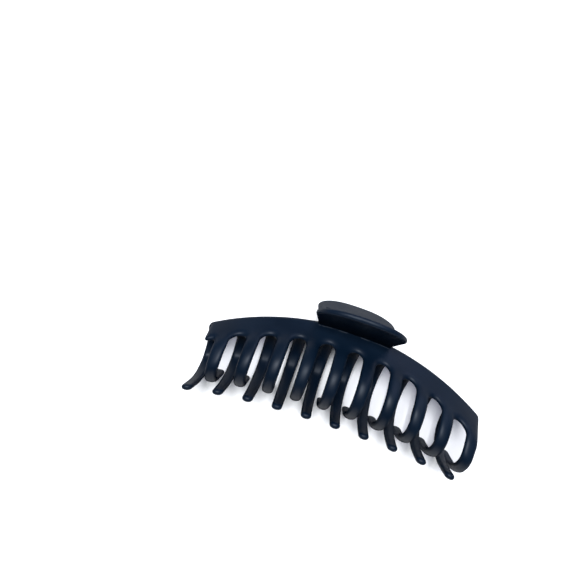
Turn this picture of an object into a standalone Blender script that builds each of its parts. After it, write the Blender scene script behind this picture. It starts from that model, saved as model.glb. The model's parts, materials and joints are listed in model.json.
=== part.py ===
"""Claw clip: two identical moulded jaws on one steel pin, held shut by a torsion spring.

The clip's own frame has X along the row of teeth, Y from jaw to jaw and Z up to the handles,
with its origin on the hinge axis. The second jaw is the first one turned half a turn about Z,
which is why the teeth of the two jaws interleave. The finished clip lies on its side, as it does
on a table, on the edge of one handle and on the tips of the teeth.
"""
import math

import bmesh
import bpy
from mathutils import Matrix, Vector

MM = 0.001

# Driving dimensions, in millimetres
TOOTH_COUNT = 10
TOOTH_PITCH = 11.05
FIRST_TOOTH = -4.25          # place of the first tooth, in pitches from the middle of the clip
RIB_RADIUS = 105.7           # the crest of the rib is an arc in the XZ plane
CREST_DROP = 2.8             # the crest's highest point lies this far under the hinge axis
RIB_LEFT_END = -53.6
RIB_RIGHT_END = 54.9
JAW_GAP = 0.4                # each rib stops this far from the plane where the jaws meet
RIB_THICKNESS = 2.0
TOOTH_THICKNESS = 2.4
TIP_THICKNESS = 2.3
TOOTH_ROOT_WIDTH = 4.85
TOOTH_TIP_WIDTH = 3.8
TOOTH_EDGE_DROP = 0.7        # the faces of a tooth are crowned by this much
SLOT_TOP = 1.04              # where the slots start, counted in profile knots from the crest
LEFT_SLOT_RISE = 0.16        # how much later they start at the left and right ends of the clip
RIGHT_SLOT_RISE = 0.42
KNOT_SPACING = 7.8           # length of the profile between two of its knots
RIB_KNOTS = 2.0              # the rib takes up this much of the profile, and teeth the rest
TAPER_KNOTS = 6.5            # length over which a tooth narrows
SHOULDER_DEPTH = 1.3         # lower edge of the rib's free end, in profile knots

# Outline of a jaw across its middle and 50 mm from it: (out from the mid plane, up from the crest)
MIDDLE_PROFILE = [(1.7, 0.0), (7.2, -6.0), (13.5, -10.7), (18.0, -16.4), (18.1, -23.4),
                  (13.5, -28.5), (6.3, -31.7), (-1.6, -33.6), (-10.0, -34.5), (-19.2, -34.9)]
END_PROFILE = [(1.6, 0.0), (7.9, -4.7), (12.9, -8.9), (14.7, -13.5), (14.6, -17.5),
               (11.9, -21.0), (6.4, -24.1), (-1.7, -25.8), (-11.5, -26.0), (-21.5, -25.8)]
PROFILE_STATION = 50.0

HANDLE_FOOT = (2.7, -4.1)    # where a handle's outer face leaves the rib: (out, up) from the axis
HANDLE_TILT = 13.7           # rise of a handle above the horizontal, in degrees
HANDLE_LENGTH = 31.0
HANDLE_ROOT = 1.5            # length of handle that is buried in the rib
HANDLE_SHOULDER = 19.4       # how far along its flanks run before the rounded top starts
HANDLE_FOOT_WIDTH = 29.4
HANDLE_WIDTH = 33.6
HANDLE_THICKNESS = 1.9
FLANK_POWER = 1.05           # above 1, the flanks are hollow
TOP_POWER_ACROSS = 2.8       # the top edge is a superellipse with these two powers
TOP_POWER_ALONG = 1.75

EAR_RADIUS = 2.5
EAR_WIDTH = 2.2
EAR_ANCHORS = [(5.5, -2.45), (2.2, -4.6), (1.2, -4.4)]   # corners of an ear's web: (out, up)
EAR_GAP = 0.3
OUTER_EAR = 12.5             # middle of a jaw's outer ear, from the middle of the clip
HINGE_ROOM = 3.1             # radius cleared in each jaw for the spring and the other jaw's ears
HINGE_ROOM_HALF = 15.2
PIN_RADIUS = 0.9
PIN_HOLE_RADIUS = 1.2
PIN_HEAD_RADIUS = 1.6
PIN_HEAD = 0.7

SPRING_WIRE = 0.45
SPRING_RADIUS = 1.95
SPRING_TURNS = 7
SPRING_PITCH = 1.25
SPRING_LEG = 13.0
SPRING_STEPS = 14
SPRING_SIDES = 6

LYING_TILT = 13.9            # how far the handle side is raised when the clip lies down, in degrees

# Fineness of the faceted shapes
RIB_ROWS = 4
TOOTH_ROWS = 13
TOOTH_COLUMNS = (-0.5, -0.2, 0.2, 0.5)   # places across a tooth, in tooth widths
SLOT_STEPS = 6
FLANK_STEPS = 3
TOP_STEPS = 7
ROUND_SIDES = 24
ROOM_SIDES = 28
PIN_SIDES = 16

# A tooth's last row: its width, and how far its edges and its middle fall away
TIP_WIDTH_SHARE = 0.55
TIP_EDGE_SHARE = 1.3
TIP_DROP = 0.35
LIP_LENGTH = 2.4             # the rib's free end is this long before it reaches its full depth
LIP_RISE = 0.1


def remove_everything():
    for item in list(bpy.data.objects):
        bpy.data.objects.remove(item, do_unlink=True)


def plain_material(name, colour, roughness, metallic):
    material = bpy.data.materials.new(name)
    material.use_nodes = True
    shader = material.node_tree.nodes["Principled BSDF"]
    shader.inputs["Base Color"].default_value = (*colour, 1.0)
    shader.inputs["Roughness"].default_value = roughness
    shader.inputs["Metallic"].default_value = metallic
    return material


def mesh_object(name, mesh, material=None):
    item = bpy.data.objects.new(name, mesh)
    bpy.context.scene.collection.objects.link(item)
    if material:
        mesh.materials.clear()
        mesh.materials.append(material)
    return item


def mesh_from_bmesh(name, shape):
    bmesh.ops.recalc_face_normals(shape, faces=shape.faces)
    mesh = bpy.data.meshes.new(name)
    shape.to_mesh(mesh)
    shape.free()
    return mesh


def catmull_rom(points, t):
    """A point and its tangent on the smooth curve through points, with t counted in knots."""
    last = len(points) - 1
    i = min(int(t), last - 1)
    u = t - i
    p1, p2 = points[i], points[i + 1]
    p0 = points[i - 1] if i > 0 else 2 * p1 - p2
    p3 = points[i + 2] if i + 2 <= last else 2 * p2 - p1
    a = 3 * (p1 - p2) + p3 - p0
    b = 2 * p0 - 5 * p1 + 4 * p2 - p3
    c = p2 - p0
    place = 0.5 * (a * u ** 3 + b * u ** 2 + c * u) + p1
    tangent = 0.5 * (3 * a * u ** 2 + 2 * b * u + c)
    return place, tangent.normalized()


def profile(x, t):
    """Outer surface of a jaw at x, t knots down from the crest, and its outward normal."""
    share = (x / PROFILE_STATION) ** 2
    points = [Vector(m).lerp(Vector(e), share) for m, e in zip(MIDDLE_PROFILE, END_PROFILE)]
    place, tangent = catmull_rom(points, t)
    crest = -CREST_DROP - (RIB_RADIUS - math.sqrt(RIB_RADIUS ** 2 - x ** 2))
    return Vector((place.x, place.y + crest)), Vector((-tangent.y, tangent.x))


def tooth_width(t):
    share = min(max((t - RIB_KNOTS) / TAPER_KNOTS, 0.0), 1.0)
    return TOOTH_ROOT_WIDTH + (TOOTH_TIP_WIDTH - TOOTH_ROOT_WIDTH) * share


def thickness(t):
    if t < RIB_KNOTS:
        return RIB_THICKNESS + (TOOTH_THICKNESS - RIB_THICKNESS) * t / RIB_KNOTS
    tooth_knots = len(MIDDLE_PROFILE) - 1 - RIB_KNOTS
    return TOOTH_THICKNESS + (TIP_THICKNESS - TOOTH_THICKNESS) * (t - RIB_KNOTS) / tooth_knots


def tooth_place(number):
    return (FIRST_TOOTH + number) * TOOTH_PITCH


def slot_top(x):
    rise = LEFT_SLOT_RISE if x < 0 else RIGHT_SLOT_RISE
    return SLOT_TOP + rise * (x / PROFILE_STATION) ** 2


class Sheet:
    """A sheet of quads laid out in (x, t), which becomes a solid of the jaw's wall thickness."""

    def __init__(self):
        self.places = {}
        self.quads = []

    def add_vertex(self, key, x, t, drop=0.0):
        self.places[key] = (x, t, drop)

    def add_quad(self, *keys):
        self.quads.append(keys)

    def solid(self):
        shape = bmesh.new()
        outer, inner = {}, {}
        for key, (x, t, drop) in self.places.items():
            place, normal = profile(x, t)
            top = place - normal * drop
            bottom = place - normal * (thickness(t) - drop)
            outer[key] = shape.verts.new((x, -max(top.x, JAW_GAP) if t < 1 else -top.x, top.y))
            inner[key] = shape.verts.new((x, -max(bottom.x, JAW_GAP) if t < 1 else -bottom.x, bottom.y))
        edges = {}
        for quad in self.quads:
            shape.faces.new([outer[key] for key in quad])
            shape.faces.new([inner[key] for key in reversed(quad)])
            for a, b in zip(quad, quad[1:] + quad[:1]):
                if (b, a) in edges:
                    del edges[(b, a)]
                else:
                    edges[(a, b)] = True
        for a, b in edges:
            shape.faces.new([outer[b], outer[a], inner[a], inner[b]])
        return shape


def column_x(number, side, t):
    """x of one of a tooth's columns; the last tooth's free edge follows the end of the rib."""
    x = tooth_place(number) + side * tooth_width(t)
    if number == TOOTH_COUNT - 1 and side == TOOTH_COLUMNS[-1]:
        x += (RIB_RIGHT_END - x) * max(0.0, 1.0 - t / RIB_KNOTS)
    return x


def jaw_wall():
    """The rib and its ten teeth as one sheet, with a round top to each slot."""
    sheet = Sheet()
    columns = []
    slot_radius = (TOOTH_PITCH - TOOTH_ROOT_WIDTH) / 2

    def rib_column(key, bottom, place):
        for row in range(RIB_ROWS):
            t = bottom * row / (RIB_ROWS - 1)
            sheet.add_vertex((key, row), place(t), t)
        columns.append(key)

    rib_column("end", SHOULDER_DEPTH - LIP_RISE, lambda t: RIB_LEFT_END)
    rib_column("lip", SHOULDER_DEPTH, lambda t: RIB_LEFT_END + LIP_LENGTH)
    for number in range(TOOTH_COUNT):
        middle = tooth_place(number)
        root = slot_top(middle) + slot_radius / KNOT_SPACING
        for side in TOOTH_COLUMNS:
            rib_column((number, side), root, lambda t, n=number, s=side: column_x(n, s, t))
        if number < TOOTH_COUNT - 1:
            slot = middle + TOOTH_PITCH / 2
            for step in range(1, SLOT_STEPS):
                angle = math.pi * step / SLOT_STEPS
                x = slot - slot_radius * math.cos(angle)
                drop = slot_radius * (1 - math.sin(angle)) / KNOT_SPACING
                rib_column((number, "slot", step), slot_top(slot) + drop, lambda t, x=x: x)
        last = len(MIDDLE_PROFILE) - 1
        for row in range(RIB_ROWS, RIB_ROWS + TOOTH_ROWS):
            share = (row - RIB_ROWS + 1) / TOOTH_ROWS
            t = root + (last - root) * share
            at_tip = row == RIB_ROWS + TOOTH_ROWS - 1
            for side in TOOTH_COLUMNS:
                x = column_x(number, side * (TIP_WIDTH_SHARE if at_tip else 1.0), t)
                if abs(side) == TOOTH_COLUMNS[-1]:
                    drop = TOOTH_EDGE_DROP * (TIP_EDGE_SHARE if at_tip else 1.0)
                else:
                    drop = TIP_DROP if at_tip else 0.0
                sheet.add_vertex(((number, side), row), x, t, drop)
    for left, right in zip(columns, columns[1:]):
        for row in range(RIB_ROWS - 1):
            sheet.add_quad((left, row), (left, row + 1), (right, row + 1), (right, row))
    for number in range(TOOTH_COUNT):
        for a, b in zip(TOOTH_COLUMNS, TOOTH_COLUMNS[1:]):
            left, right = (number, a), (number, b)
            for row in range(RIB_ROWS - 1, RIB_ROWS + TOOTH_ROWS - 1):
                sheet.add_quad((left, row), (left, row + 1), (right, row + 1), (right, row))
    return sheet.solid()


def handle_outline():
    """The thumb plate's outline from its left foot round to its right one, as (x, along)."""
    foot, wide = HANDLE_FOOT_WIDTH / 2, HANDLE_WIDTH / 2
    rise = HANDLE_LENGTH - HANDLE_SHOULDER
    half = [(-foot, -HANDLE_ROOT)]
    for step in range(FLANK_STEPS + 1):
        share = step / FLANK_STEPS
        half.append((-foot - (wide - foot) * share ** FLANK_POWER, HANDLE_SHOULDER * share))
    for step in range(1, TOP_STEPS + 1):
        angle = math.pi / 2 * step / TOP_STEPS
        across = max(math.cos(angle), 0.0) ** (2 / TOP_POWER_ACROSS)
        along = math.sin(angle) ** (2 / TOP_POWER_ALONG)
        half.append((-wide * across, HANDLE_SHOULDER + rise * along))
    half[-1] = (0.0, HANDLE_LENGTH)
    return half + [(-x, y) for x, y in reversed(half[:-1])]


def handle_point(x, along, up):
    """A point of the thumb plate: along it from its foot, and up from its outer face."""
    tilt = math.radians(HANDLE_TILT)
    out = HANDLE_FOOT[0] + along * math.cos(tilt) - up * math.sin(tilt)
    height = HANDLE_FOOT[1] + along * math.sin(tilt) + up * math.cos(tilt)
    return Vector((x, -out, height))


def prism(loops):
    """A closed solid between two loops of the same number of points."""
    shape = bmesh.new()
    rings = [[shape.verts.new(point) for point in loop] for loop in loops]
    shape.faces.new(rings[0])
    shape.faces.new(list(reversed(rings[1])))
    count = len(rings[0])
    for i in range(count):
        j = (i + 1) % count
        shape.faces.new([rings[0][j], rings[0][i], rings[1][i], rings[1][j]])
    return shape


def handle_plate():
    outline = handle_outline()
    return prism([[handle_point(x, a, up) for x, a in outline] for up in (0.0, HANDLE_THICKNESS)])


def along_x(radius, x_from, x_to, sides=ROUND_SIDES):
    """A round bar on the hinge axis."""
    loops = []
    for x in (x_from, x_to):
        loops.append([Vector((x, radius * math.cos(2 * math.pi * i / sides),
                              radius * math.sin(2 * math.pi * i / sides))) for i in range(sides)])
    return prism(loops)


def ear(middle):
    """A lug round the pin with a web down to the inside of the rib."""
    shape = bmesh.new()
    for x in (middle - EAR_WIDTH / 2, middle + EAR_WIDTH / 2):
        for i in range(ROUND_SIDES):
            angle = 2 * math.pi * i / ROUND_SIDES
            shape.verts.new((x, EAR_RADIUS * math.cos(angle), EAR_RADIUS * math.sin(angle)))
        for out, up in EAR_ANCHORS:
            shape.verts.new((x, -out, up))
    hull = bmesh.ops.convex_hull(shape, input=shape.verts)
    spare = {v for v in hull["geom_interior"] + hull["geom_unused"] if isinstance(v, bmesh.types.BMVert)}
    bmesh.ops.delete(shape, geom=list(spare), context="VERTS")
    return shape


def inner_ear():
    return OUTER_EAR - EAR_WIDTH - EAR_GAP


def combine(base, steps):
    """The base shape with the steps' shapes added or cut away, one after the other."""
    body = mesh_object("jaw_blank", mesh_from_bmesh("jaw_blank", base))
    helpers = []
    for number, (operation, shape) in enumerate(steps):
        helper = mesh_object(f"helper_{number}", mesh_from_bmesh(f"helper_{number}", shape))
        helper.hide_render = True
        helper.display_type = "WIRE"
        helpers.append(helper)
        boolean = body.modifiers.new(f"step_{number}", "BOOLEAN")
        boolean.operation = operation
        boolean.solver = "EXACT"
        boolean.object = helper
    bpy.context.view_layer.update()
    finished = body.evaluated_get(bpy.context.evaluated_depsgraph_get())
    mesh = bpy.data.meshes.new_from_object(finished)
    for item in helpers + [body]:
        bpy.data.objects.remove(item, do_unlink=True)
    return mesh


def jaw_mesh():
    room = along_x(HINGE_ROOM, -HINGE_ROOM_HALF, HINGE_ROOM_HALF, sides=ROOM_SIDES)
    hole = along_x(PIN_HOLE_RADIUS, -HINGE_ROOM_HALF, HINGE_ROOM_HALF, sides=PIN_SIDES)
    mesh = combine(jaw_wall(), [
        ("UNION", handle_plate()),
        ("DIFFERENCE", room),
        ("UNION", ear(-OUTER_EAR)),
        ("UNION", ear(inner_ear())),
        ("DIFFERENCE", hole),
    ])
    mesh.name = "jaw"
    mesh.transform(Matrix.Scale(MM, 4))
    return mesh


def pin_mesh():
    """A straight pin with a flat head peened at each end."""
    half = OUTER_EAR + EAR_WIDTH / 2 + EAR_GAP
    outline = [(-half - PIN_HEAD, PIN_HEAD_RADIUS), (-half, PIN_HEAD_RADIUS), (-half, PIN_RADIUS),
               (half, PIN_RADIUS), (half, PIN_HEAD_RADIUS), (half + PIN_HEAD, PIN_HEAD_RADIUS)]
    shape = bmesh.new()
    sides = PIN_SIDES
    rings = []
    for x, radius in outline:
        rings.append([shape.verts.new((x, radius * math.cos(2 * math.pi * i / sides),
                                       radius * math.sin(2 * math.pi * i / sides)))
                      for i in range(sides)])
    for a, b in zip(rings, rings[1:]):
        for i in range(sides):
            j = (i + 1) % sides
            shape.faces.new([a[i], a[j], b[j], b[i]])
    shape.faces.new(rings[0])
    shape.faces.new(rings[-1])
    mesh = mesh_from_bmesh("hinge_pin", shape)
    mesh.transform(Matrix.Scale(MM, 4))
    return mesh


def spring_path():
    """The wire's centre line: a leg, the coil round the pin, and the other jaw's leg."""
    tilt = math.radians(HANDLE_TILT)
    along = Vector((math.cos(tilt), math.sin(tilt)))
    towards_plate = Vector((math.sin(tilt), -math.cos(tilt)))
    face = Vector(HANDLE_FOOT).dot(towards_plate) - HANDLE_THICKNESS - SPRING_WIRE - EAR_GAP
    leg_end = along * SPRING_LEG + towards_plate * face
    start = towards_plate * SPRING_RADIUS
    first_angle = math.atan2(start.y, -start.x)
    last_angle = math.pi - first_angle
    sweep = (last_angle - first_angle) % (2 * math.pi) + 2 * math.pi * SPRING_TURNS
    steps = int(SPRING_TURNS * SPRING_STEPS)
    half = SPRING_TURNS * SPRING_PITCH / 2
    path = [Vector((half, -leg_end.x, leg_end.y))]
    for i in range(steps + 1):
        angle = first_angle + sweep * i / steps
        x = half - 2 * half * i / steps
        path.append(Vector((x, SPRING_RADIUS * math.cos(angle), SPRING_RADIUS * math.sin(angle))))
    path.append(Vector((-half, leg_end.x, leg_end.y)))
    return path


def tube(path, radius, sides):
    """A round wire along path, closed at both ends, with its sections carried without twist."""
    shape = bmesh.new()
    rings = []
    side = None
    for i, point in enumerate(path):
        before = path[max(i - 1, 0)]
        after = path[min(i + 1, len(path) - 1)]
        forward = (after - before).normalized()
        if side is None:
            side = forward.orthogonal()
        side = (side - forward * side.dot(forward)).normalized()
        up = forward.cross(side)
        rings.append([shape.verts.new(point + radius * (side * math.cos(a) + up * math.sin(a)))
                      for a in (2 * math.pi * k / sides for k in range(sides))])
    for a, b in zip(rings, rings[1:]):
        for i in range(sides):
            j = (i + 1) % sides
            shape.faces.new([a[i], a[j], b[j], b[i]])
    shape.faces.new(rings[0])
    shape.faces.new(rings[-1])
    return shape


def spring_mesh():
    mesh = mesh_from_bmesh("torsion_spring", tube(spring_path(), SPRING_WIRE, SPRING_SIDES))
    mesh.transform(Matrix.Scale(MM, 4))
    return mesh


def lay_down(frame, pieces):
    """Turns the clip on its side and sets it on the ground, centred on the origin."""
    frame.rotation_euler = (math.radians(LYING_TILT - 90.0), 0.0, 0.0)
    bpy.context.view_layer.update()
    corners = [piece.matrix_world @ vertex.co for piece in pieces for vertex in piece.data.vertices]
    middle = (min(c.y for c in corners) + max(c.y for c in corners)) / 2
    frame.location = (0.0, -middle, -min(c.z for c in corners))
    bpy.context.view_layer.update()


def main():
    remove_everything()
    navy_black = (0.012, 0.014, 0.024)
    frame = bpy.data.objects.new("clip_frame", None)
    bpy.context.scene.collection.objects.link(frame)

    shared = jaw_mesh()
    lower = mesh_object("lower_jaw", shared, plain_material("lower_jaw_plastic", navy_black, 0.5, 0.0))
    lower.rotation_euler = (0.0, 0.0, math.pi)
    upper_mesh = shared.copy()
    upper_mesh.name = "upper_jaw"
    upper = mesh_object("upper_jaw", upper_mesh,
                        plain_material("upper_jaw_plastic", navy_black, 0.5, 0.0))
    pin = mesh_object("hinge_pin", pin_mesh(), plain_material("pin_steel", (0.55, 0.56, 0.58), 0.3, 1.0))
    spring = mesh_object("torsion_spring", spring_mesh(),
                         plain_material("spring_steel", (0.45, 0.46, 0.48), 0.3, 1.0))
    pieces = [lower, upper, pin, spring]
    for piece in pieces:
        piece.parent = frame
        piece.data.shade_smooth()
        piece.data.set_sharp_from_angle(angle=math.radians(40.0))
    lay_down(frame, pieces)


main()
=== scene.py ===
"""The looks of the claw clip: fine jaws, pin and spring in place of the plain CAD solids.

Shapes are built in the clip's own frame, in millimetres: X along the row of teeth, Y from jaw to
jaw and Z up to the thumb plates, with the origin on the hinge axis. `placed` carries them to the
CAD frame, where the clip lies on its side.
"""
import json
import math

import bmesh
import bpy
from mathutils import Matrix, Vector
from mathutils.kdtree import KDTree


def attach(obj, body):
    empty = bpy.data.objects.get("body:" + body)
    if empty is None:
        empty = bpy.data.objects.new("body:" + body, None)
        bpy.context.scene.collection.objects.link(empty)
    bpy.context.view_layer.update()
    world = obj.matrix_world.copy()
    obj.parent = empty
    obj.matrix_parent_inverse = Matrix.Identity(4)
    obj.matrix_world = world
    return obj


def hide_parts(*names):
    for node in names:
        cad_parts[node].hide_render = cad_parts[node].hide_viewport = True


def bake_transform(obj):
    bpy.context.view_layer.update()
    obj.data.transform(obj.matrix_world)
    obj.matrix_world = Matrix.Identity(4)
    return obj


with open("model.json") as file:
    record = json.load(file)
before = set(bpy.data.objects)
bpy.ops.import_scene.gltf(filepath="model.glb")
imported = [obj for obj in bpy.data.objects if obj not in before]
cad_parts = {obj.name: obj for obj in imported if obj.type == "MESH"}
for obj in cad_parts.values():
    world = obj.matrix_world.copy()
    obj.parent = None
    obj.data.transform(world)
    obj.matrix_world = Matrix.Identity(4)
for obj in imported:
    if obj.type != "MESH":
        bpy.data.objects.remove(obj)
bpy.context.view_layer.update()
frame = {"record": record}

MM = 0.001
HINGE = Vector(frame["record"]["behaviour"]["joints"][0]["pos_m"])
LYING_TILT = 13.9            # how far the thumb plates are raised as the clip lies, in degrees
CLIP_TO_CAD = Matrix.Translation(HINGE) @ Matrix.Rotation(math.radians(LYING_TILT - 90.0), 4, "X")
HALF_TURN = Matrix.Rotation(math.pi, 4, "Z")

# The jaws, as in the CAD model
TOOTH_COUNT = 10
TOOTH_PITCH = 11.05
FIRST_TOOTH = -4.25
RIB_RADIUS = 105.7
CREST_DROP = 2.8
RIB_LEFT_END = -53.6
RIB_RIGHT_END = 54.9
JAW_GAP = 0.4
RIB_THICKNESS = 2.0
TOOTH_THICKNESS = 2.4
TIP_THICKNESS = 2.3
TOOTH_ROOT_WIDTH = 4.85
TOOTH_TIP_WIDTH = 3.8
SLOT_TOP = 1.04
LEFT_SLOT_RISE = 0.16
RIGHT_SLOT_RISE = 0.42
KNOT_SPACING = 7.8
RIB_KNOTS = 2.0
TAPER_KNOTS = 6.5
SHOULDER_DEPTH = 1.3
MIDDLE_PROFILE = [(1.7, 0.0), (7.2, -6.0), (13.5, -10.7), (18.0, -16.4), (18.1, -23.4),
                  (13.5, -28.5), (6.3, -31.7), (-1.6, -33.6), (-10.0, -34.5), (-19.2, -34.9)]
END_PROFILE = [(1.6, 0.0), (7.9, -4.7), (12.9, -8.9), (14.7, -13.5), (14.6, -17.5),
               (11.9, -21.0), (6.4, -24.1), (-1.7, -25.8), (-11.5, -26.0), (-21.5, -25.8)]
PROFILE_STATION = 50.0
HANDLE_FOOT = (2.7, -4.1)
HANDLE_TILT = 13.7
HANDLE_LENGTH = 31.0
HANDLE_ROOT = 1.5
HANDLE_SHOULDER = 19.4
HANDLE_FOOT_WIDTH = 29.4
HANDLE_WIDTH = 33.6
HANDLE_THICKNESS = 1.9
FLANK_POWER = 1.05
TOP_POWER_ACROSS = 2.8
TOP_POWER_ALONG = 1.75
EAR_RADIUS = 2.5
EAR_WIDTH = 2.2
EAR_ANCHORS = [(5.5, -2.45), (2.2, -4.6), (1.2, -4.4)]
EAR_GAP = 0.3
OUTER_EAR = 12.5
HINGE_ROOM = 3.1
HINGE_ROOM_HALF = 15.2
PIN_RADIUS = 0.9
PIN_HOLE_RADIUS = 1.2
PIN_HEAD_RADIUS = 1.6
PIN_HEAD = 0.7
SPRING_WIRE = 0.45
SPRING_RADIUS = 1.95
SPRING_TURNS = 7
SPRING_PITCH = 1.25
SPRING_LEG = 13.0

# Rounded edges of the jaws: how far in an edge starts to fall away, and how far it falls
OUTER_ROUND = Vector((2.2, 1.15))
INNER_ROUND = Vector((1.3, 0.8))
CREST_ROUND = Vector((0.8, 0.5))
CREST_BLEND = 0.8            # where the crest's tighter edge has given way, in profile knots
END_CORNER = 1.3             # corner radius at each end of the rib
EDGE_ZONE = 0.2              # beyond this share of its width, the last tooth follows the rib's end
SHOULDER_FILLET = 1.4        # inner corner between the shoulder and the first tooth
TIP_ROUND = 2.0              # length over which a tooth's tip rounds off
TIP_POWER = 2.4              # the tip's outline is a superellipse
TIP_NARROWING = 0.96
TIP_KNOT_SPACING = 9.5       # length between the last two knots of the profile
PLATE_ROUND = Vector((1.0, 0.9))
PLATE_CAMBER = 0.5           # how far a thumb plate's sides bend down, like the rib's crest
FOOT_FILLET = 0.8            # soft corner between a thumb plate's outer face and the rib
FOOT_FILLET_ON_RIB = 0.7     # how much further it reaches on the rib
FOOT_FILLET_INSET = 0.4      # how far it stops short of the plate's flanks
FOOT_FILLET_DEPTH = 0.4      # how far it goes into the rib

# How finely the visible shapes are made
RIB_ROWS = 30
TOOTH_ROWS = 96
TOOTH_COLUMNS = 14
SLOT_STEPS = 18
SHOULDER_STEPS = 12
PLATE_ROWS = 60
PLATE_COLUMNS = 64
FILLET_STEPS = 12
SKIN_CELL = 0.28             # size of the finished jaw's mesh cells
SKIN_SMOOTHING = 3
SKIN_GROWTH = 0.11           # gives back what the smoothing takes off

# The camera looks down at the clip, as seen in the clip's own frame
CAMERA_PLACE = Vector((-18.33, -260.38, 17.3))
CAMERA_AZIMUTH = 2.60
CAMERA_ELEVATION = 2.82
CAMERA_ROLL = 18.74
CAMERA_LENS = 41.95          # focal length, in millimetres
SENSOR_WIDTH = 36.0


# ---------------------------------------------------------------- small tools

def link(name, mesh):
    item = bpy.data.objects.new(name, mesh)
    bpy.context.scene.collection.objects.link(item)
    return item


def mesh_from_bmesh(name, shape):
    bmesh.ops.recalc_face_normals(shape, faces=shape.faces)
    mesh = bpy.data.meshes.new(name)
    shape.to_mesh(mesh)
    shape.free()
    return mesh


def evaluated(item, name):
    """The item's mesh with its modifiers applied; the item itself goes."""
    bpy.context.view_layer.update()
    final = item.evaluated_get(bpy.context.evaluated_depsgraph_get())
    mesh = bpy.data.meshes.new_from_object(final)
    mesh.name = name
    bpy.data.objects.remove(item, do_unlink=True)
    return mesh


def cut(mesh, cutter_mesh):
    item = link(mesh.name, mesh)
    cutter = link("cutter", cutter_mesh)
    boolean = item.modifiers.new("cut", "BOOLEAN")
    boolean.operation = "DIFFERENCE"
    boolean.solver = "EXACT"
    boolean.object = cutter
    result = evaluated(item, mesh.name)
    bpy.data.objects.remove(cutter, do_unlink=True)
    return result


def joined(name, meshes):
    shape = bmesh.new()
    for mesh in meshes:
        shape.from_mesh(mesh)
    result = bpy.data.meshes.new(name)
    shape.to_mesh(result)
    shape.free()
    return result


def skinned(mesh, cell, smoothing, growth):
    """One even skin round everything in the mesh, with soft creases, grown back to its size."""
    item = link(mesh.name, mesh)
    remesh = item.modifiers.new("skin", "REMESH")
    remesh.mode = "VOXEL"
    remesh.voxel_size = cell
    soften = item.modifiers.new("soften", "SMOOTH")
    soften.factor = 0.5
    soften.iterations = smoothing
    grow = item.modifiers.new("grow", "DISPLACE")
    grow.mid_level = 0.0
    grow.strength = growth
    return evaluated(item, mesh.name)


# ---------------------------------------------------------------- the jaws

def catmull_rom(points, t):
    """A point and its tangent on the smooth curve through points, with t counted in knots."""
    last = len(points) - 1
    i = min(int(t), last - 1)
    u = t - i
    p1, p2 = points[i], points[i + 1]
    p0 = points[i - 1] if i > 0 else 2 * p1 - p2
    p3 = points[i + 2] if i + 2 <= last else 2 * p2 - p1
    a = 3 * (p1 - p2) + p3 - p0
    b = 2 * p0 - 5 * p1 + 4 * p2 - p3
    c = p2 - p0
    place = 0.5 * (a * u ** 3 + b * u ** 2 + c * u) + p1
    tangent = 0.5 * (3 * a * u ** 2 + 2 * b * u + c)
    return place, tangent.normalized()


def profile(x, t):
    """Outer surface of a jaw at x, t knots down from the crest, and its outward normal."""
    share = (x / PROFILE_STATION) ** 2
    points = [Vector(m).lerp(Vector(e), share) for m, e in zip(MIDDLE_PROFILE, END_PROFILE)]
    place, tangent = catmull_rom(points, t)
    crest = -CREST_DROP - (RIB_RADIUS - math.sqrt(RIB_RADIUS ** 2 - x ** 2))
    return Vector((place.x, place.y + crest)), Vector((-tangent.y, tangent.x))


def tooth_width(t):
    share = min(max((t - RIB_KNOTS) / TAPER_KNOTS, 0.0), 1.0)
    return TOOTH_ROOT_WIDTH + (TOOTH_TIP_WIDTH - TOOTH_ROOT_WIDTH) * share


def thickness(t):
    if t < RIB_KNOTS:
        return RIB_THICKNESS + (TOOTH_THICKNESS - RIB_THICKNESS) * t / RIB_KNOTS
    tooth_knots = len(MIDDLE_PROFILE) - 1 - RIB_KNOTS
    return TOOTH_THICKNESS + (TIP_THICKNESS - TOOTH_THICKNESS) * (t - RIB_KNOTS) / tooth_knots


def tooth_place(number):
    return (FIRST_TOOTH + number) * TOOTH_PITCH


def slot_top(x):
    rise = LEFT_SLOT_RISE if x < 0 else RIGHT_SLOT_RISE
    return SLOT_TOP + rise * (x / PROFILE_STATION) ** 2


class Sheet:
    """A fine sheet of quads laid out in (x, t), which becomes a wall with rounded edges."""

    def __init__(self):
        self.places = {}
        self.quads = []

    def add_vertex(self, key, x, t):
        self.places[key] = (x, t)

    def add_quad(self, *keys):
        self.quads.append(keys)

    def add_grid(self, columns, first_row, last_row):
        for left, right in zip(columns, columns[1:]):
            for row in range(first_row, last_row):
                self.add_quad((left, row), (left, row + 1), (right, row + 1), (right, row))

    def border(self):
        """Directed edges that belong to one quad only."""
        edges = set()
        for quad in self.quads:
            for a, b in zip(quad, quad[1:] + quad[:1]):
                if (b, a) in edges:
                    edges.remove((b, a))
                else:
                    edges.add((a, b))
        return edges

    def solid(self, base, walls):
        """The closed wall: base(x, t) is its surface, and walls(x, t, inside) its two sides."""
        edges = self.border()
        surface = {key: base(x, t) for key, (x, t) in self.places.items()}
        tree = KDTree(2 * len(edges))
        for number, (a, b) in enumerate(edges):
            tree.insert(surface[a], 2 * number)
            tree.insert((surface[a] + surface[b]) / 2, 2 * number + 1)
        tree.balance()
        shape = bmesh.new()
        outer, inner = {}, {}
        for key, (x, t) in self.places.items():
            sides = walls(x, t, tree.find(surface[key])[2])
            outer[key], inner[key] = (shape.verts.new(side) for side in sides)
        for quad in self.quads:
            shape.faces.new([outer[key] for key in quad])
            shape.faces.new([inner[key] for key in reversed(quad)])
        for a, b in edges:
            shape.faces.new([outer[b], outer[a], inner[a], inner[b]])
        return mesh_from_bmesh("wall", shape)


def jaw_surface(x, t):
    place = profile(x, t)[0]
    return Vector((x, -place.x, place.y))


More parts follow.
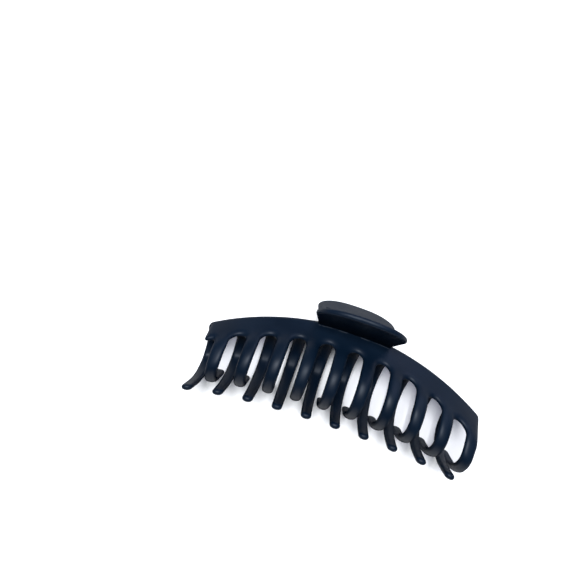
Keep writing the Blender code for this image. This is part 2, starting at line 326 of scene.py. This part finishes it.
def jaw_sides(x, t, inside):
    """The jaw's outer and inner points at a distance inside the nearest edge of the sheet."""
    place, normal = profile(x, t)
    share = min(t / CREST_BLEND, 1.0)
    depths = (round_over(inside, CREST_ROUND.lerp(OUTER_ROUND, share)),
              thickness(t) - round_over(inside, CREST_ROUND.lerp(INNER_ROUND, share)))
    points = [place - normal * depth for depth in depths]
    return [(x, -max(p.x, JAW_GAP) if t < 1 else -p.x, p.y) for p in points]


def round_over(inside, radii):
    """How far an edge rounded by an ellipse falls back at a distance inside the edge."""
    along = 1.0 - min(inside / radii.x, 1.0)
    return radii.y * (1.0 - math.sqrt(1.0 - along ** 2))


def end_corner(distance):
    """How far the corner at an end of the rib falls back at a distance from it."""
    return END_CORNER * round_over(distance, Vector((END_CORNER, 1.0)))


def column_x(number, side, t):
    """x of one of a tooth's columns; the last tooth's free edge follows the end of the rib."""
    x = tooth_place(number) + side * tooth_width(t)
    if number == TOOTH_COUNT - 1 and side > EDGE_ZONE:
        edge = tooth_place(number) + 0.5 * tooth_width(t)
        outward = (side - EDGE_ZONE) / (0.5 - EDGE_ZONE)
        x += (RIB_RIGHT_END - edge) * max(0.0, 1.0 - t / RIB_KNOTS) * outward
        x -= end_corner(t * KNOT_SPACING) * outward
    return x


def tip_share(left):
    """How much of a tooth's width is left at a distance from its very tip."""
    back = 1.0 - min(left / TIP_ROUND, 1.0)
    return (1.0 - TIP_NARROWING * back ** TIP_POWER) ** (1 / TIP_POWER)


def jaw_wall():
    """The rib and its ten teeth as one sheet, with a round top to each slot."""
    sheet = Sheet()
    columns = []
    slot_radius = (TOOTH_PITCH - TOOTH_ROOT_WIDTH) / 2
    sides = [step / TOOTH_COLUMNS - 0.5 for step in range(TOOTH_COLUMNS + 1)]
    last = len(MIDDLE_PROFILE) - 1

    def root(x):
        return slot_top(x) + slot_radius / KNOT_SPACING

    def rib_column(key, bottom, place):
        for row in range(RIB_ROWS):
            t = bottom * row / (RIB_ROWS - 1)
            sheet.add_vertex((key, row), place(t), t)
        columns.append(key)

    first_edge = column_x(0, -0.5, 0.0)
    shoulder = first_edge - RIB_LEFT_END
    for step in range(SHOULDER_STEPS):
        along = shoulder * step / SHOULDER_STEPS
        lift = end_corner(along) / KNOT_SPACING
        fillet = root(first_edge) - SHOULDER_DEPTH
        sink = fillet * round_over(shoulder - along, Vector((SHOULDER_FILLET, 1.0)))

        def place(t, along=along):
            corner = end_corner(t * KNOT_SPACING)
            return RIB_LEFT_END + along + corner * max(0.0, 1.0 - along / END_CORNER)

        rib_column(("end", step), SHOULDER_DEPTH - lift + sink, place)
    for number in range(TOOTH_COUNT):
        for side in sides:
            bottom = root(column_x(number, side, 1.0))
            rib_column((number, side), bottom, lambda t, n=number, s=side: column_x(n, s, t))
        if number < TOOTH_COUNT - 1:
            slot = tooth_place(number) + TOOTH_PITCH / 2
            for step in range(1, SLOT_STEPS):
                angle = math.pi * step / SLOT_STEPS
                x = slot - slot_radius * math.cos(angle)
                drop = slot_radius * (1 - math.sin(angle)) / KNOT_SPACING
                rib_column((number, "slot", step), slot_top(x) + drop, lambda t, x=x: x)
        for row in range(RIB_ROWS, RIB_ROWS + TOOTH_ROWS):
            share = 1.0 - (1.0 - (row - RIB_ROWS + 1) / TOOTH_ROWS) ** 1.5
            for side in sides:
                start = root(column_x(number, side, 1.0))
                t = start + (last - start) * share
                left = (last - t) * TIP_KNOT_SPACING
                x = column_x(number, side * tip_share(left), t)
                sheet.add_vertex(((number, side), row), x, t)
    sheet.add_grid(columns, 0, RIB_ROWS - 1)
    for number in range(TOOTH_COUNT):
        sheet.add_grid([(number, side) for side in sides], RIB_ROWS - 1, RIB_ROWS + TOOTH_ROWS - 1)
    return sheet.solid(jaw_surface, jaw_sides)


def handle_half_width(along):
    """Half the thumb plate's width at a distance from its foot: hollow flanks, rounded top."""
    foot, wide = HANDLE_FOOT_WIDTH / 2, HANDLE_WIDTH / 2
    if along < HANDLE_SHOULDER:
        return foot + (wide - foot) * (max(along, 0.0) / HANDLE_SHOULDER) ** FLANK_POWER
    rise = (along - HANDLE_SHOULDER) / (HANDLE_LENGTH - HANDLE_SHOULDER)
    return wide * (1.0 - min(rise, 0.9995) ** TOP_POWER_ALONG) ** (1 / TOP_POWER_ACROSS)


def handle_point(x, along, up=0.0):
    """A point of the thumb plate: along it from its foot, and up from its outer face."""
    tilt = math.radians(HANDLE_TILT)
    up -= PLATE_CAMBER * (2 * x / HANDLE_WIDTH) ** 2
    out = HANDLE_FOOT[0] + along * math.cos(tilt) - up * math.sin(tilt)
    height = HANDLE_FOOT[1] + along * math.sin(tilt) + up * math.cos(tilt)
    return Vector((x, -out, height))


def handle_sides(x, along, inside):
    drop = round_over(inside, PLATE_ROUND) if along > 0 else 0.0
    return [handle_point(x, along, drop), handle_point(x, along, HANDLE_THICKNESS - drop)]


def handle_plate():
    """The cambered, fan-shaped thumb plate with a fully rounded rim."""
    sheet = Sheet()
    columns = list(range(PLATE_COLUMNS + 1))
    for row in range(PLATE_ROWS + 1):
        share = 1.0 - (1.0 - row / PLATE_ROWS) ** 2
        along = -HANDLE_ROOT + (HANDLE_LENGTH + HANDLE_ROOT) * share
        for column in columns:
            across = math.sin(math.pi / 2 * (2 * column / PLATE_COLUMNS - 1))
            sheet.add_vertex((column, row), across * handle_half_width(along), along)
    sheet.add_grid(columns, 0, PLATE_ROWS)
    return sheet.solid(handle_point, handle_sides)


def foot_fillet():
    """The soft corner between the thumb plate's outer face and the rib."""
    loops = []
    half_width = HANDLE_FOOT_WIDTH / 2 - FOOT_FILLET_INSET
    rib_knots = (FOOT_FILLET + FOOT_FILLET_ON_RIB) / KNOT_SPACING
    for step in range(FILLET_STEPS + 1):
        x = half_width * (2 * step / FILLET_STEPS - 1)
        corner = handle_point(x, 0.0)
        on_plate = handle_point(x, FOOT_FILLET)
        place, normal = profile(x, rib_knots)
        on_rib = Vector((x, -place.x, place.y))
        hollow = (on_plate + on_rib) * 0.29 + corner * 0.42
        buried = handle_point(x, -1.0, 1.0)
        loops.append([on_plate + Vector((0, 0, 0.3)), on_plate, hollow, on_rib,
                      on_rib - Vector((0, -normal.x, normal.y)) * FOOT_FILLET_DEPTH, buried])
    return loft("fillet", loops)


def loft(name, loops):
    """A closed solid through loops that all have the same number of points."""
    shape = bmesh.new()
    rings = [[shape.verts.new(point) for point in loop] for loop in loops]
    shape.faces.new(rings[0])
    shape.faces.new(list(reversed(rings[-1])))
    for near, far in zip(rings, rings[1:]):
        for i in range(len(near)):
            shape.faces.new([near[i - 1], near[i], far[i], far[i - 1]])
    return mesh_from_bmesh(name, shape)


def ring(x, radius, sides):
    angles = [2 * math.pi * i / sides for i in range(sides)]
    return [Vector((x, radius * math.cos(a), radius * math.sin(a))) for a in angles]


def along_x(name, radius, x_from, x_to, sides=48):
    return loft(name, [ring(x_from, radius, sides), ring(x_to, radius, sides)])


def ear(middle):
    """A lug round the pin with a web down to the inside of the rib."""
    shape = bmesh.new()
    for x in (middle - EAR_WIDTH / 2, middle + EAR_WIDTH / 2):
        for point in ring(x, EAR_RADIUS, 48):
            shape.verts.new(point)
        for out, up in EAR_ANCHORS:
            shape.verts.new((x, -out, up))
    hull = bmesh.ops.convex_hull(shape, input=shape.verts)
    spare = {v for v in hull["geom_interior"] + hull["geom_unused"] if isinstance(v, bmesh.types.BMVert)}
    bmesh.ops.delete(shape, geom=list(spare), context="VERTS")
    lug = mesh_from_bmesh("ear", shape)
    return cut(lug, along_x("hole", PIN_HOLE_RADIUS, middle - EAR_WIDTH, middle + EAR_WIDTH))


def jaw_mesh():
    room = along_x("room", HINGE_ROOM, -HINGE_ROOM_HALF, HINGE_ROOM_HALF)
    wall = cut(jaw_wall(), room.copy())
    plate = cut(handle_plate(), room.copy())
    fillet = foot_fillet()
    inner_ear = OUTER_EAR - EAR_WIDTH - EAR_GAP
    whole = joined("jaw", [wall, plate, fillet, ear(-OUTER_EAR), ear(inner_ear)])
    return skinned(whole, SKIN_CELL, SKIN_SMOOTHING, SKIN_GROWTH)


# ---------------------------------------------------------------- pin and spring

def pin_mesh():
    """A straight pin with a domed head peened at each end."""
    half = OUTER_EAR + EAR_WIDTH / 2 + EAR_GAP
    edge = [(math.sin(a), 1 - math.cos(a)) for a in (math.radians(d) for d in (15, 35, 55, 75, 90))]
    head = [(half + PIN_HEAD * (1 - u), PIN_HEAD_RADIUS * r) for r, u in edge]
    head = head + [(half, PIN_HEAD_RADIUS * 0.97), (half, PIN_RADIUS)]
    outline = [(-x, r) for x, r in head] + [(x, r) for x, r in reversed(head)]
    shape = bmesh.new()
    sides = 32
    rings = [[shape.verts.new(p) for p in ring(x, r, sides)] for x, r in outline]
    for a, b in zip(rings, rings[1:]):
        for i in range(sides):
            j = (i + 1) % sides
            shape.faces.new([a[i], a[j], b[j], b[i]])
    shape.faces.new(rings[0])
    shape.faces.new(rings[-1])
    return mesh_from_bmesh("hinge_pin", shape)


def spring_path():
    """The wire's centre line: a leg, the coil round the pin, and the other jaw's leg."""
    tilt = math.radians(HANDLE_TILT)
    along = Vector((math.cos(tilt), math.sin(tilt)))
    towards_plate = Vector((math.sin(tilt), -math.cos(tilt)))
    face = Vector(HANDLE_FOOT).dot(towards_plate) - HANDLE_THICKNESS - SPRING_WIRE - EAR_GAP
    leg_end = along * SPRING_LEG + towards_plate * face
    start = towards_plate * SPRING_RADIUS
    first_angle = math.atan2(start.y, -start.x)
    sweep = (math.pi - 2 * first_angle) % (2 * math.pi) + 2 * math.pi * SPRING_TURNS
    steps = SPRING_TURNS * 36
    half = SPRING_TURNS * SPRING_PITCH / 2
    end = Vector((half, -leg_end.x, leg_end.y))
    coil = []
    for i in range(steps + 1):
        angle = first_angle + sweep * i / steps
        coil.append(Vector((half - 2 * half * i / steps,
                            SPRING_RADIUS * math.cos(angle), SPRING_RADIUS * math.sin(angle))))
    far_end = Vector((-half, leg_end.x, leg_end.y))
    leg = [end.lerp(coil[0], s) for s in (0.0, 0.02, 0.25, 0.5, 0.75, 0.92)]
    far_leg = [coil[-1].lerp(far_end, s) for s in (0.08, 0.25, 0.5, 0.75, 0.98, 1.0)]
    return leg + coil + far_leg


def tube(path, radius, sides):
    """A round wire along path, closed at both ends, with its sections carried without twist."""
    shape = bmesh.new()
    rings = []
    side = None
    for i, point in enumerate(path):
        before = path[max(i - 1, 0)]
        after = path[min(i + 1, len(path) - 1)]
        forward = (after - before).normalized()
        if side is None:
            side = forward.orthogonal()
        side = (side - forward * side.dot(forward)).normalized()
        up = forward.cross(side)
        thin = 0.8 if i in (0, len(path) - 1) else 1.0
        rings.append([shape.verts.new(point + radius * thin * (side * math.cos(a) + up * math.sin(a)))
                      for a in (2 * math.pi * k / sides for k in range(sides))])
    for a, b in zip(rings, rings[1:]):
        for i in range(sides):
            j = (i + 1) % sides
            shape.faces.new([a[i], a[j], b[j], b[i]])
    shape.faces.new(rings[0])
    shape.faces.new(rings[-1])
    return mesh_from_bmesh("torsion_spring", shape)


# ---------------------------------------------------------------- materials

def new_material(name):
    material = bpy.data.materials.new(name)
    material.use_nodes = True
    nodes, links = material.node_tree.nodes, material.node_tree.links
    return material, nodes, links, nodes["Principled BSDF"]


def noise(nodes, links, coordinates, scale, detail):
    texture = nodes.new("ShaderNodeTexNoise")
    texture.inputs["Scale"].default_value = scale
    texture.inputs["Detail"].default_value = detail
    links.new(coordinates, texture.inputs["Vector"])
    return texture.outputs["Fac"]


def ramp(nodes, links, value, low, high, from_low=0.35, from_high=0.65):
    remap = nodes.new("ShaderNodeMapRange")
    remap.inputs["From Min"].default_value = from_low
    remap.inputs["From Max"].default_value = from_high
    remap.inputs["To Min"].default_value = low
    remap.inputs["To Max"].default_value = high
    links.new(value, remap.inputs["Value"])
    return remap.outputs["Result"]


def soft_touch_plastic(name):
    """Blue-black moulded plastic with a matt, rubbery coat: fine grain and faint handling marks.

    Its gloss is strongest face on and fades at flat angles.
    """
    material, nodes, links, shader = new_material(name)
    place = nodes.new("ShaderNodeTexCoord").outputs["Object"]
    patches = noise(nodes, links, place, 90.0, 3.0)
    grain = noise(nodes, links, place, 5200.0, 2.0)
    mix = nodes.new("ShaderNodeMix")
    mix.data_type = "RGBA"
    mix.inputs["A"].default_value = (0.0008, 0.0044, 0.0118, 1.0)
    mix.inputs["B"].default_value = (0.0014, 0.0060, 0.0150, 1.0)
    links.new(ramp(nodes, links, patches, 0.0, 1.0), mix.inputs["Factor"])
    links.new(mix.outputs["Result"], shader.inputs["Base Color"])
    links.new(ramp(nodes, links, patches, 0.45, 0.51), shader.inputs["Roughness"])
    bump = nodes.new("ShaderNodeBump")
    bump.inputs["Strength"].default_value = 0.12
    bump.inputs["Distance"].default_value = 0.00005
    links.new(grain, bump.inputs["Height"])
    links.new(bump.outputs["Normal"], shader.inputs["Normal"])
    facing = nodes.new("ShaderNodeLayerWeight").outputs["Facing"]
    gloss = ramp(nodes, links, facing, 0.16, 0.0, from_low=0.10, from_high=0.92)
    links.new(gloss, shader.inputs["Specular IOR Level"])
    shader.inputs["Specular Tint"].default_value = (0.86, 0.92, 1.0, 1.0)
    return material


def bright_steel(name, colour, roughness):
    material, nodes, links, shader = new_material(name)
    place = nodes.new("ShaderNodeTexCoord").outputs["Object"]
    drawn = nodes.new("ShaderNodeMapping")
    drawn.inputs["Scale"].default_value = (1.0, 12.0, 12.0)
    links.new(place, drawn.inputs["Vector"])
    streaks = noise(nodes, links, drawn.outputs["Vector"], 900.0, 3.0)
    shader.inputs["Base Color"].default_value = (*colour, 1.0)
    shader.inputs["Metallic"].default_value = 1.0
    links.new(ramp(nodes, links, streaks, roughness, roughness + 0.12), shader.inputs["Roughness"])
    bump = nodes.new("ShaderNodeBump")
    bump.inputs["Strength"].default_value = 0.1
    bump.inputs["Distance"].default_value = 0.00003
    links.new(streaks, bump.inputs["Height"])
    links.new(bump.outputs["Normal"], shader.inputs["Normal"])
    return material


def table_white(name):
    material, nodes, links, shader = new_material(name)
    place = nodes.new("ShaderNodeTexCoord").outputs["Object"]
    mottle = noise(nodes, links, place, 14.0, 4.0)
    links.new(ramp(nodes, links, mottle, 0.62, 0.72), shader.inputs["Roughness"])
    shader.inputs["Base Color"].default_value = (0.93, 0.93, 0.935, 1.0)
    shader.inputs["Specular IOR Level"].default_value = 0.2
    return material


# ---------------------------------------------------------------- the scene

def placed(name, mesh, material, turn=Matrix()):
    """Puts a mesh made in the clip's own millimetres, first turned, at its place in the CAD frame."""
    mesh.transform(CLIP_TO_CAD @ Matrix.Scale(MM, 4) @ turn)
    mesh.materials.clear()
    mesh.materials.append(material)
    mesh.shade_smooth()
    return link(name, mesh)


def make_clip():
    plastic = soft_touch_plastic("soft_touch_plastic")
    jaw = jaw_mesh()
    other = jaw.copy()
    upper = placed("upper_jaw_moulding", jaw, plastic)
    lower = placed("lower_jaw_moulding", other, plastic, HALF_TURN)
    pin = placed("pin_with_heads", pin_mesh(), bright_steel("pin_steel", (0.56, 0.57, 0.58), 0.22))
    spring = placed("coil_spring", tube(spring_path(), SPRING_WIRE, 14),
                    bright_steel("spring_steel", (0.45, 0.46, 0.48), 0.26))
    pin.data.set_sharp_from_angle(angle=math.radians(40.0))
    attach(upper, "upper_jaw")
    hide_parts("upper_jaw")
    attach(lower, "lower_jaw")
    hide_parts("lower_jaw")
    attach(pin, "lower_jaw")
    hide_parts("hinge_pin")
    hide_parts("torsion_spring")
    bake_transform(spring)


def make_floor():
    shape = bmesh.new()
    bmesh.ops.create_grid(shape, x_segments=4, y_segments=4, size=0.45)
    floor = link("white_table", mesh_from_bmesh("white_table", shape))
    floor.data.materials.append(table_white("white_table"))


def area_light(name, place, target, size, power, colour=(1.0, 1.0, 1.0)):
    lamp = bpy.data.lights.new(name, "AREA")
    lamp.shape = "RECTANGLE"
    lamp.size, lamp.size_y = size
    lamp.energy = power
    lamp.color = colour
    item = link(name, lamp)
    item.location = place
    item.rotation_euler = (Vector(target) - Vector(place)).to_track_quat("-Z", "Y").to_euler()
    return item


def make_light():
    world = bpy.data.worlds.new("dim_room")
    world.use_nodes = True
    world.node_tree.nodes["Background"].inputs["Color"].default_value = (0.85, 0.93, 1.0, 1.0)
    world.node_tree.nodes["Background"].inputs["Strength"].default_value = 0.09
    bpy.context.scene.world = world
    area_light("overhead", (-0.045, 0.0, 0.7), (0.0, 0.0, 0.0), (0.18, 0.2), 8.2, (0.95, 0.97, 1.0))
    area_light("window", (0.60, 1.25, 0.80), (0.0, 0.0, 0.0), (0.8, 0.6), 10.0, (0.76, 0.78, 1.0))


def make_camera():
    """A camera above the table, set in the clip's own frame and then carried to the CAD frame."""
    azimuth, elevation = math.radians(CAMERA_AZIMUTH), math.radians(CAMERA_ELEVATION)
    right = Vector((math.cos(azimuth), math.sin(azimuth), 0.0))
    forward = Vector((-math.sin(azimuth) * math.cos(elevation),
                      math.cos(azimuth) * math.cos(elevation), -math.sin(elevation)))
    up = right.cross(forward)
    turn = Matrix((right, up, -forward)).transposed().to_4x4()
    roll = Matrix.Rotation(math.radians(CAMERA_ROLL), 4, "Z")
    lens = bpy.data.cameras.new("camera")
    lens.sensor_width = SENSOR_WIDTH
    lens.lens = CAMERA_LENS
    lens.clip_start, lens.clip_end = 0.01, 20.0
    camera = link("camera", lens)
    camera.matrix_world = CLIP_TO_CAD @ Matrix.Translation(CAMERA_PLACE * MM) @ turn @ roll
    bpy.context.scene.camera = camera


make_camera()
make_clip()
make_floor()
make_light()
bpy.context.scene.view_settings.view_transform = "Standard"

bpy.context.view_layer.update()
